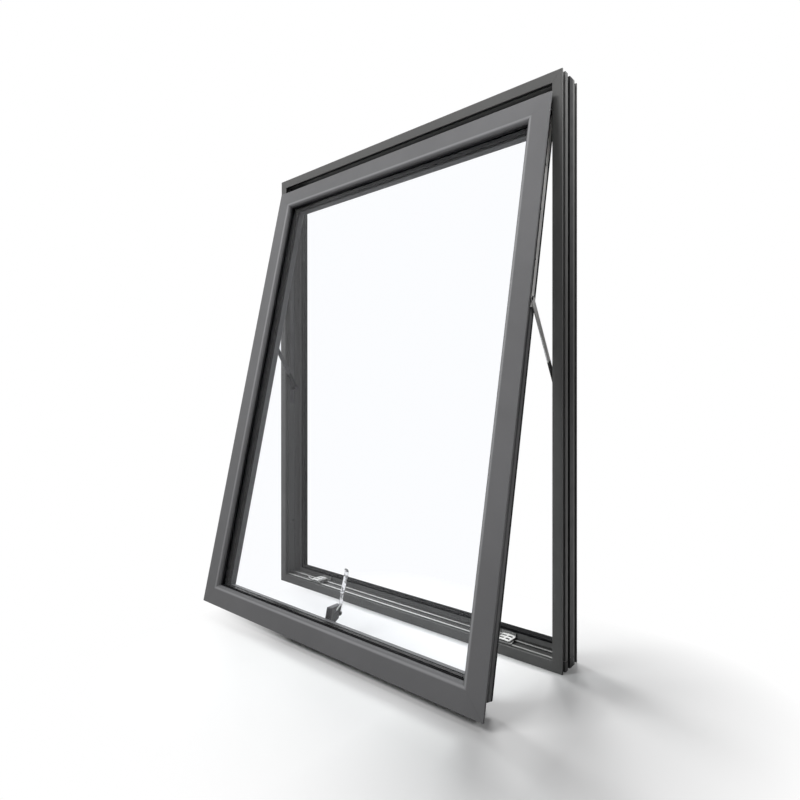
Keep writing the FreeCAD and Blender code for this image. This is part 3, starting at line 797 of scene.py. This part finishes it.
def keep_details():
    """Screws and bars over a black sheet of painted shade on each keep of the sill, and the left keep's thin
    tail.
    """
    for hand, way in (("left", -1), ("right", 1)):

        def spot(x, depth, up=0.0):
            return Vector((way * x, FRONT + depth, KEEP_TOP + up))

        bm = bmesh.new()
        for x, depth in KEEP_SCREWS:
            screw_head(bm, spot(x, depth), (0, 0, 1), SMALL_SCREW, 0.5)
        for depth in KEEP_BARS:
            start, end = [spot(x, depth, KEEP_BAR_UP) for x in (KEEP_POSTS[0], KEEP_POSTS[-1])]
            flat_bar(bm, [start, (start + end) / 2 + Vector(KEEP_BAR_BOW), end], KEEP_BAR_SIZE, (0, 1, 0))
        for x in KEEP_POSTS:
            start, end = [spot(x, depth, KEEP_BAR_UP) for depth in (KEEP_BARS[0], KEEP_BARS[-1])]
            flat_bar(bm, [start, (start + end) / 2, end], KEEP_POST_SIZE, (1, 0, 0))
        # A black sheet under the bars, painted shade for the keep's slots
        shade_sheet = bmesh.new()
        across = [spot(KEEP_POSTS[1], depth, KEEP_SHADE_SHEET_UP) for depth in KEEP_SHADE_SHEET]
        flat_bar(shade_sheet, across, KEEP_SHADE_SHEET_SIZE, (1, 0, 0))
        mesh = finished_mesh("keep_shade_sheet", shade_sheet)
        add_piece("keep_shade_sheet_" + hand, mesh, MATERIALS["shoe_nylon"], "frame")
        if hand == "left":
            start, end = [spot(x, depth, KEEP_TAIL_UP) for x, depth in KEEP_TAIL]
            flat_bar(bm, [start, (start + end) / 2, end], KEEP_TAIL_SIZE, (0, 1, 0))
        mesh = finished_mesh("keep_details", bm)
        add_piece("keep_details_" + hand, mesh, MATERIALS["zinc_plated"], "frame")


def handle_details():
    """Lever with rounded edges, its black hub, the base's bright trim and its screws."""
    axle = (HANDLE_X, SASH_DEPTH + HANDLE_REACH, -HANDLE_AXIS_DOWN)
    place = sash_matrix() @ Matrix.Translation(axle)
    bm = bmesh.new()
    line = smooth_line([Vector((0, depth, up)) for up, depth in LEVER_LINE], 6)
    last = len(line) - 1
    widths = []
    thickness = []
    for index in range(len(line)):
        at = index / last
        end = min(1.0, (1 - at) * last / 3 + 0.35) * min(1.0, at * last / 3 + 0.55)
        widths.append((LEVER_WIDTH - LEVER_WAIST * math.sin(math.pi * min(1.0, at * 1.6))) * end)
        thickness.append((LEVER_THICKNESS - LEVER_TAPER * at) * min(1.0, end + 0.3))
    strap(bm, line, widths, thickness, Vector((1, 0, 0)), place, 14)
    mesh = finished_mesh("handle_lever_strap", bm, 60.0)
    lever = add_piece("handle_lever_strap", mesh, MATERIALS["handle_chrome"], "handle_lever")
    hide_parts("handle_lever")
    trim = bmesh.new()
    points = [Vector((HANDLE_TRIM_SIDE, depth, up)) for depth, up in HANDLE_TRIM]
    flat_bar(trim, points, HANDLE_TRIM_SIZE, HANDLE_TRIM_LEAN, place, 10)
    mesh = finished_mesh("handle_trim", trim)
    add_piece("handle_trim", mesh, MATERIALS["zinc_plated"], "sash")
    hub = bmesh.new()
    lathe(hub, HUB_PROFILE, 36, place @ Matrix.Rotation(-math.pi / 2, 4, "X"))
    mesh = finished_mesh("handle_hub", hub)
    add_piece("handle_hub", mesh, MATERIALS["shoe_nylon"], "handle_lever")
    screws = bmesh.new()
    inward = (sash_matrix().to_3x3() @ Vector((0, 1, 0))).normalized()
    down = SASH_HEIGHT - HANDLE_SCREW_UP
    for way in (-1, 1):
        spot = sash_place(HANDLE_X + way * HANDLE_EAR, down, SASH_DEPTH + HANDLE_PLATE)
        screw_head(screws, spot, inward, SMALL_SCREW, 0.3)
    mesh = finished_mesh("handle_screws", screws)
    add_piece("handle_screws", mesh, MATERIALS["stainless_steel"], "sash")


stay_fasteners()
keep_details()
handle_details()


# Stage: floor, light and camera


def floor_material():
    """White floor that keeps the shadow, and has a painted shadow that darkens it toward the right. Far from
    the window it fades into the white background.
    """
    s = Shader("studio_floor", FLOOR_WHITE, 0.9)
    parts = s.split(s.place)
    outside = []
    for axis, (low, high) in zip("XY", SHADOW_BOX):
        off = s.math("ABSOLUTE", s.math("SUBTRACT", parts[axis], (low + high) / 2))
        beyond = s.math("MAXIMUM", s.math("SUBTRACT", off, (high - low) / 2), 0.0)
        outside.append(s.math("MULTIPLY", beyond, beyond))
    away = s.math("SQRT", s.math("ADD", *outside))
    far = s.remap(away, 0.0, SHADOW_FADE, 0.0, 1.0)
    path = s.node("LightPath")
    seen = s.math("MAXIMUM", path.outputs["Is Camera Ray"], path.outputs["Is Glossy Ray"])
    seen = s.math("MAXIMUM", seen, path.outputs["Is Transmission Ray"])
    glow = s.node("Emission")
    glow.inputs["Color"].default_value = (*WHITE, 1)
    glow.inputs["Strength"].default_value = 1.0
    # Painted shadow: the floor's colour darkens toward the right
    shade_toward_right = s.remap(parts["X"], *FLOOR_SHADOW_SPAN, 0.0, 1.0)
    tone = s.mix(shade_toward_right, FLOOR_WHITE, FLOOR_SHADOW_COLOUR)
    tone = s.mix(path.outputs["Is Diffuse Ray"], tone, FLOOR_BOUNCE)
    s.link(tone, s.shader.inputs["Base Color"])
    surface = s.blend(s.math("MULTIPLY", far, seen), s.shader.outputs["BSDF"], glow.outputs["Emission"])
    s.link(surface, s.output.inputs["Surface"])
    return s.material


def make_floor():
    mesh = bpy.data.meshes.new("floor")
    signs = ((-1, -1), (1, -1), (1, 1), (-1, 1))
    corners = [(x * FLOOR_HALF, y * FLOOR_HALF, FLOOR_HEIGHT) for x, y in signs]
    mesh.from_pydata(corners, [], [(0, 1, 2, 3)])
    mesh.materials.append(floor_material())
    floor = bpy.data.objects.new("floor", mesh)
    bpy.context.scene.collection.objects.link(floor)


def make_world():
    """White to look at. It lights mostly from the left, and metal sees it dark low on the right."""
    world = bpy.data.worlds.new("studio")
    bpy.context.scene.world = world
    world.use_nodes = True
    w = NodeTree(world.node_tree)

    def background(colour, strength):
        node = w.node("Background")
        node.inputs["Color"].default_value = (*colour, 1)
        w.set(node.inputs["Strength"], strength)
        return node.outputs[0]

    path = w.node("LightPath").outputs
    parts = w.split(w.node("TexCoord").outputs["Generated"])
    lit = background(SKY_TINT, w.remap(parts["X"], *SKY_SPAN, SKY_LEFT, SKY_RIGHT))
    from_left = w.remap(parts["X"], *MIRROR_SIDE, 1.0, 0.0)
    from_above = w.remap(parts["Z"], *MIRROR_RISE, MIRROR_LOW, MIRROR_HIGH)
    mirrored = background(WHITE, w.math("MAXIMUM", from_left, from_above))
    seen = w.math("MAXIMUM", path["Is Camera Ray"], path["Is Transmission Ray"])
    reflected = w.math("SUBTRACT", path["Is Glossy Ray"], path["Is Transmission Ray"])
    reflected = w.math("MAXIMUM", reflected, 0.0)
    surface = w.blend(seen, lit, background(WHITE, 1.0))
    surface = w.blend(reflected, surface, mirrored)
    w.link(surface, w.node("OutputWorld").inputs["Surface"])


def area_light(name, place, target, size, power, beam):
    """A rectangular lamp that glass and metal don't mirror."""
    data = bpy.data.lights.new(name, "AREA")
    data.shape = "RECTANGLE"
    data.size, data.size_y = size
    data.energy = power
    data.spread = math.radians(beam)
    lamp = bpy.data.objects.new(name, data)
    bpy.context.scene.collection.objects.link(lamp)
    lamp.location = place
    aim = Vector(target) - Vector(place)
    lamp.rotation_euler = aim.to_track_quat("-Z", "Y").to_euler()
    lamp.visible_glossy = False
    lamp.visible_transmission = False


def make_camera():
    data = bpy.data.cameras.new("camera")
    data.sensor_width = CAMERA_SENSOR
    data.lens = CAMERA_LENS
    data.clip_start = CAMERA_NEAR
    camera = bpy.data.objects.new("camera", data)
    bpy.context.scene.collection.objects.link(camera)
    camera.location = CAMERA_PLACE
    camera.rotation_euler = (math.pi / 2, 0, CAMERA_AZIMUTH)
    bpy.context.scene.camera = camera


make_floor()
make_world()
for lamp_row in LAMPS:
    area_light(*lamp_row)
make_camera()

bpy.context.scene.view_settings.view_transform = "Standard"
